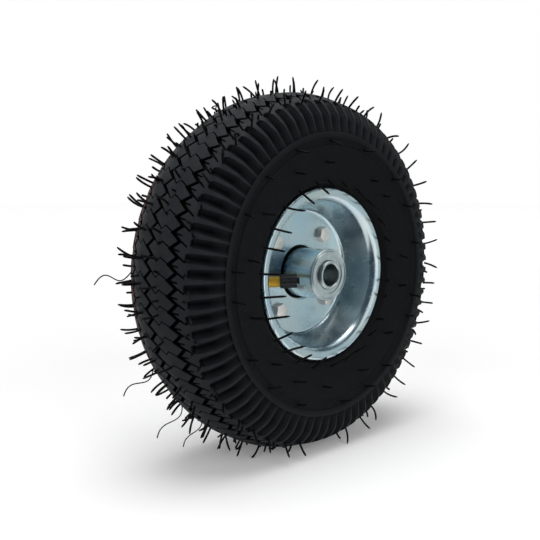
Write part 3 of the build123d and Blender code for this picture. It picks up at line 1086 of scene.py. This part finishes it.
@dataclass
class RimFasteners:
    """The rim's bolts and nuts: hexagons with turned chamfers, and threads on the bolts' ends."""

    count: int = 4
    circle_radius: float = 35.0
    first_angle: float = 50.0
    across_flats: float = 10.0
    chamfer: float = 30.0
    head_face: float = -8.0
    head_height: float = 4.0
    nut_face: float = -2.8
    nut_height: float = 5.0
    overrun: float = 2.0
    shank_radius: float = 3.0
    thread_pitch: float = 1.0
    thread_depth: float = 0.5
    bolt_points: int = 17
    face_share: float = 0.96
    countersink: float = 0.5
    sides: int = 48

    def hexagon(self, angle: float) -> float:
        """Give the radius of the hexagon's flats at an angle about the bolt."""
        sixth = math.tau / 6
        return self.across_flats / 2 / math.cos((angle + sixth / 2) % sixth - sixth / 2)

    def chamfer_drop(self, angle: float) -> float:
        """Give how far the turned chamfer comes down the flats at an angle about the bolt."""
        past = self.hexagon(angle) - self.across_flats / 2 * self.face_share
        return past * math.tan(math.radians(self.chamfer))

    def spin(self, draft: MeshDraft, lines: Callable[[float], list[Point]]) -> None:
        """Turn a section that changes with the angle, once at each bolt.

        Args:
            draft: the mesh to add to.
            lines: gives the (radius, y) points of the section at an angle about the bolt.
        """
        for n in range(self.count):
            clock = math.radians(self.first_angle) + math.tau * n / self.count
            middle = Vector((math.cos(clock), 0.0, math.sin(clock))) * self.circle_radius
            rows = []
            for side in range(self.sides):
                angle = math.tau * side / self.sides
                cos, sin = math.cos(angle + clock), math.sin(angle + clock)
                rows.append([(middle.x + r * cos, y, middle.z + r * sin) for r, y in lines(angle)])
            draft.skin(rows, closed=False)

    def bolt_section(self, angle: float) -> list[Point]:
        """Give a bolt's section: chamfered head, plain shank, threaded end."""
        top = self.head_face - self.head_height
        flat, end = self.across_flats / 2 * self.face_share, self.nut_face + self.nut_height + self.overrun
        line = [(0.0, top), (flat, top), (self.hexagon(angle), top + self.chamfer_drop(angle))]
        line += [(self.hexagon(angle), self.head_face), (self.shank_radius, self.head_face)]
        y = self.nut_face
        lead = angle / math.tau * self.thread_pitch
        while y + self.thread_pitch + lead < end - self.thread_depth:
            line.append((self.shank_radius, y + lead))
            y += self.thread_pitch
            line.append((self.shank_radius - self.thread_depth, y + lead - self.thread_pitch / 2))
        while len(line) < self.bolt_points:
            line.append((self.shank_radius, end - self.thread_depth))
        return line + [(self.shank_radius - self.thread_depth, end), (0.0, end)]

    def nut_section(self, angle: float) -> list[Point]:
        """Give a nut's section: chamfered on both faces, with a countersunk bore."""
        flat, drop = self.across_flats / 2 * self.face_share, self.chamfer_drop(angle)
        start, end = self.nut_face, self.nut_face + self.nut_height
        bore, sink = self.shank_radius + FIT_GAP, self.countersink
        line = [(bore, start + sink), (bore + sink, start), (flat, start), (self.hexagon(angle), start + drop)]
        line += [(self.hexagon(angle), end - drop), (flat, end), (bore + sink, end), (bore, end - sink)]
        return line + line[:1]

    def build(self) -> None:
        """Build the bolts and the nuts."""
        for name, section, node in (
            ("rim_bolt_set", self.bolt_section, "rim_bolts"),
            ("rim_nut_set", self.nut_section, "rim_nuts"),
        ):
            draft = MeshDraft()
            self.spin(draft, section)
            place_piece(draft.make(name), Body.WHEEL, Slot.BOLT, BOLT_ZINC, node)


@dataclass
class WeldBead:
    """The rippled weld that holds the hub in the rear rim half."""

    hub_radius: float = 18.02
    disc_face: float = -4.4
    leg: float = 4.0
    ripples: int = 58
    ripple: float = 0.14
    steps_per_ripple: int = 6
    section_steps: int = 6

    def build(self) -> None:
        """Build the bead as a quarter-round ring that swells with each ripple."""
        rows = []
        count = self.ripples * self.steps_per_ripple
        for step in range(count):
            angle = math.tau * step / count
            swell = self.leg * (1 - self.ripple * (1 - abs(math.sin(angle * self.ripples / 2))))
            line = [(self.hub_radius, self.disc_face)]
            for i in range(self.section_steps + 1):
                turn = math.pi / 2 * i / self.section_steps
                line.append((self.hub_radius + swell * math.cos(turn), self.disc_face + swell * math.sin(turn)))
            rows.append([(r * math.cos(angle), y, r * math.sin(angle)) for r, y in line])
        draft = MeshDraft()
        draft.skin(rows, closed=True)
        place_piece(draft.make("hub_weld_bead"), Body.WHEEL, Slot.SHEET, ZINC_SHEET, "hub_weld")


@dataclass
class Bearing:
    """The turned faces of one bearing: flanged outer ring, shield and inner ring."""

    side: Face
    end: float = 36.0
    flange_radius: float = 18.5
    flange: float = 1.5
    press_radius: float = 15.98
    depth: float = 10.0
    outer_land: float = 13.7
    score_radius: float = 16.9
    score: float = 0.5
    inner_land: float = 10.3
    inner_stand: float = 2.0
    inner_length: float = 11.5
    bore_radius: float = 8.0
    edge: float = 0.5
    shield_inset: float = 0.6
    shield: float = 0.8
    shield_gap: float = 0.3
    steps_around: int = 144

    def part(self, kind: str, line: list[Point], body: Body, finish: Finish) -> None:
        """Turn one piece of the bearing and put it in its CAD node's place."""
        node = f"bearing_{kind}_{self.side.name.lower()}"
        draft = MeshDraft()
        draft.turn([(r, y * self.side.value) for r, y in line], self.steps_around)
        place_piece(draft.make(f"{node}_turned"), body, Slot.BEARING, finish, node)

    def build(self) -> None:
        """Build the three pieces."""
        edge, score, seat = self.edge, self.score, self.end - self.flange
        outer = [(self.outer_land, seat - self.depth), (self.press_radius, seat - self.depth)]
        outer += [(self.press_radius, seat), (self.flange_radius, seat), (self.flange_radius, self.end - edge)]
        outer += [(self.flange_radius - edge, self.end), (self.score_radius + score, self.end)]
        outer += [(self.score_radius, self.end - score), (self.score_radius - score, self.end)]
        outer += [(self.outer_land, self.end)]
        self.part("outer", outer, Body.WHEEL, BEARING_STEEL)
        face = self.end - self.shield_inset
        rim, lip = self.outer_land - FIT_GAP, self.inner_land + self.shield_gap
        shield = [(lip, face - self.shield), (rim, face - self.shield), (rim, face), (lip, face)]
        self.part("shield", shield, Body.WHEEL, BEARING_STEEL)
        tip, back = self.end + self.inner_stand, self.end + self.inner_stand - self.inner_length
        inner = [(self.bore_radius, back), (self.inner_land, back), (self.inner_land, tip - edge)]
        inner += [(self.inner_land - edge, tip), (self.bore_radius + edge, tip), (self.bore_radius, tip - edge)]
        self.part("inner", inner, Body.AXLE, BEARING_STEEL)


@dataclass
class CadPieces:
    """The CAD nodes that keep their own shape and get a finish and softened edges."""

    edge: float = 0.25
    edge_steps: int = 2
    edge_angle: float = 35.0
    weld: float = 0.001

    def soften(self, piece: Piece) -> None:
        """Weld a node's facets and round its edges a little."""
        piece.modifiers.new("weld", "WELD").merge_threshold = self.weld * MM
        bevel = piece.modifiers.new("edges", "BEVEL")
        bevel.width = self.edge * MM
        bevel.segments = self.edge_steps
        bevel.limit_method = "ANGLE"
        bevel.angle_limit = math.radians(self.edge_angle)
        piece.data.shade_smooth()
        smooth = piece.modifiers.new("shading", "WEIGHTED_NORMAL")
        smooth.keep_sharp = False

    def dress(self) -> None:
        """Dress every node that is still shown."""
        finishes = {
            TUBE_RUBBER: ("inner_tube", "valve_foot"),
            ZINC_SHEET: ("hub_tube",),
            BOLT_ZINC: ("rim_washers",),
            BEARING_STEEL: ("bearing_balls", "bearing_spacer"),
            BRASS: ("valve_stem", "valve_core", "valve_pin"),
            CAP_PLASTIC: ("valve_cap",),
        }
        for finish, names in finishes.items():
            for name in names:
                finish.dress(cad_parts[name])
                self.soften(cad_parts[name])
                LOG.info("%s: %s", name, finish.name)


@dataclass(frozen=True)
class Lamp:
    """A square soft lamp: its place, the length of its side, its watts, and whether metal shows it."""

    name: str
    spot: Spot
    size: float
    power: float
    mirrored: bool = True


@dataclass(frozen=True)
class Card:
    """A plain card: its section's (distance, height) points, its first and last azimuth, its colour."""

    name: str
    line: tuple[Point, ...]
    azimuths: Span
    shade: Colour


CARD_LOW, CARD_WALL, CARD_HIGH = (900.0, -129.0), (900.0, 420.0), (620.0, 700.0)
LAMPS = (
    Lamp("top_lamp", (-60.0, -60.0, 1700.0), 1300.0, 23.0),
    Lamp("left_lamp", (-1500.0, -500.0, 900.0), 900.0, 6.0),
    Lamp("front_lamp", (-200.0, -1600.0, 900.0), 900.0, 6.0, mirrored=False),
)
CARDS = (
    Card("side_card", ((240.0, -129.0), CARD_LOW, CARD_WALL), (-64.0, 30.0), (0.52, 0.59, 0.6)),
    Card(
        "room_card",
        ((190.0, -129.0), CARD_LOW, CARD_WALL, CARD_HIGH, (200.0, 900.0)),
        (-185.0, -98.0),
        (0.015, 0.04, 0.062),
    ),
    Card("high_card", (CARD_WALL, CARD_HIGH), (-98.0, -10.0), (0.05, 0.09, 0.12)),
)


@dataclass
class Studio:
    """The pale floor, the soft lights, the cards that the metal mirrors, and the camera."""

    floor_height: float = -130.0
    floor_size: float = 16000.0
    floor_white: float = 0.9
    near_glow: float = 0.16
    far_glow: float = 0.75
    glow_radii: Span = (350.0, 2200.0)
    room_light: float = 0.26
    azimuth: float = -44.9
    elevation: float = 6.35
    distance: float = 560.0
    focal_pixels: float = 748.0
    picture_pixels: float = 540.0
    axle_pixels: Point = (293.4, 270.7)
    sensor: float = 36.0
    clip: Span = (0.01, 100.0)
    card_steps: int = 16

    def floor(self) -> None:
        """Lay a white floor that keeps the wheel's shadow and fades into the white background."""
        half = self.floor_size / 2
        corners = [(-half, -half), (half, -half), (half, half), (-half, half)]
        draft = MeshDraft([(x, y, self.floor_height) for x, y in corners], [(0, 1, 2, 3)])
        piece = draft.make("floor")
        sketch, made = NodeSketch.material("studio_floor")
        near, away = self.glow_radii
        far = sketch.ramp(sketch.length(sketch.place), near * MM, away * MM)
        rise = sketch.sum("MULTIPLY_ADD", far, self.far_glow - self.near_glow, self.near_glow)
        matt = sketch.node("ShaderNodeBsdfDiffuse", Color=(*[self.floor_white] * 3, 1.0))
        glow = sketch.node("ShaderNodeEmission", Strength=sketch.sum("MULTIPLY", rise, sketch.backdrop_ray()))
        lit = sketch.node("ShaderNodeAddShader")
        for socket, shader in zip(lit.inputs, (matt, glow)):
            sketch.feed(socket, shader.outputs[0])
        sketch.node("ShaderNodeOutputMaterial", Surface=lit.outputs[0])
        piece.data.materials.append(made)

    def world(self) -> None:
        """Fill the room with soft light in front of a white background."""
        room = bpy.data.worlds.new("studio")
        bpy.context.scene.world = room
        room.use_nodes = True
        sketch = NodeSketch(room.node_tree)
        level = sketch.sum("MULTIPLY_ADD", sketch.backdrop_ray(), 1 - self.room_light, self.room_light)
        white = sketch.node("ShaderNodeBackground", Color=(1.0, 1.0, 1.0, 1.0), Strength=level)
        sketch.node("ShaderNodeOutputWorld", Surface=white.outputs[0])

    def hang(self, lamp: Lamp) -> None:
        """Hang a lamp so that it faces the wheel."""
        light = bpy.data.lights.new(lamp.name, "AREA")
        light.size = lamp.size * MM
        light.energy = lamp.power
        made = bpy.data.objects.new(lamp.name, light)
        made.location = Vector(lamp.spot) * MM
        made.visible_glossy = lamp.mirrored
        made.rotation_euler = (-Vector(lamp.spot)).to_track_quat("-Z", "Y").to_euler()
        bpy.context.scene.collection.objects.link(made)

    def stand_up(self, card: Card) -> None:
        """Set up a card, curved round the wheel, that only the metal mirrors."""
        start, end = card.azimuths
        rows = []
        for step in range(self.card_steps + 1):
            turn = math.radians(start + (end - start) * step / self.card_steps)
            rows.append([(away * math.cos(turn), away * math.sin(turn), height) for away, height in card.line])
        draft = MeshDraft()
        draft.skin(rows, closed=False, ring=False)
        piece = draft.make(card.name)
        sketch, made = NodeSketch.material(card.name)
        glow = sketch.node("ShaderNodeEmission", Color=(*card.shade, 1.0), Strength=1.0)
        sketch.node("ShaderNodeOutputMaterial", Surface=glow.outputs[0])
        piece.data.materials.append(made)
        piece.visible_camera = False
        piece.visible_diffuse = False
        piece.visible_transmission = False
        piece.visible_shadow = False

    def camera(self) -> None:
        """Set the camera at the photograph's angle, aimed so that the axle lands where it is in the picture."""
        az, el = math.radians(self.azimuth), math.radians(self.elevation)
        back = Vector((math.sin(az) * math.cos(el), -math.cos(az) * math.cos(el), math.sin(el)))
        right = Vector((math.cos(az), math.sin(az), 0.0))
        up = back.cross(right)
        scale = self.distance / self.focal_pixels
        aside = (self.axle_pixels[0] - self.picture_pixels / 2) * scale
        below = (self.axle_pixels[1] - self.picture_pixels / 2) * scale
        target = up * below - right * aside
        data = bpy.data.cameras.new("camera")
        data.sensor_width = self.sensor
        data.lens = self.focal_pixels * self.sensor / self.picture_pixels
        data.clip_start, data.clip_end = self.clip
        camera = bpy.data.objects.new("camera", data)
        spot = back * self.distance
        camera.location = spot * MM
        camera.rotation_euler = (target - spot).to_track_quat("-Z", "Y").to_euler()
        bpy.context.scene.collection.objects.link(camera)
        bpy.context.scene.camera = camera

    def build(self) -> None:
        """Set up the whole studio."""
        self.floor()
        self.world()
        for lamp in LAMPS:
            self.hang(lamp)
        for card in CARDS:
            self.stand_up(card)
        self.camera()
        bpy.context.scene.view_settings.view_transform = "Standard"


def main() -> None:
    """Build the wheel's pieces in order, then the studio, and report each one."""
    logging.basicConfig(level=logging.INFO, format="%(message)s")
    tyre = Tyre()
    tyre.build()
    VentHairs(tyre).build()
    RimHalf(Face.FRONT, "rim_half_front", hole_radius=20.8, disc=8.0).build()
    RimHalf(Face.REAR, "rim_half_rear", hole_radius=18.02, disc=-4.4).build()
    RimFasteners().build()
    WeldBead().build()
    for side in Face:
        Bearing(side).build()
    CadPieces().dress()
    Studio().build()


if __name__ == "__main__":
    main()
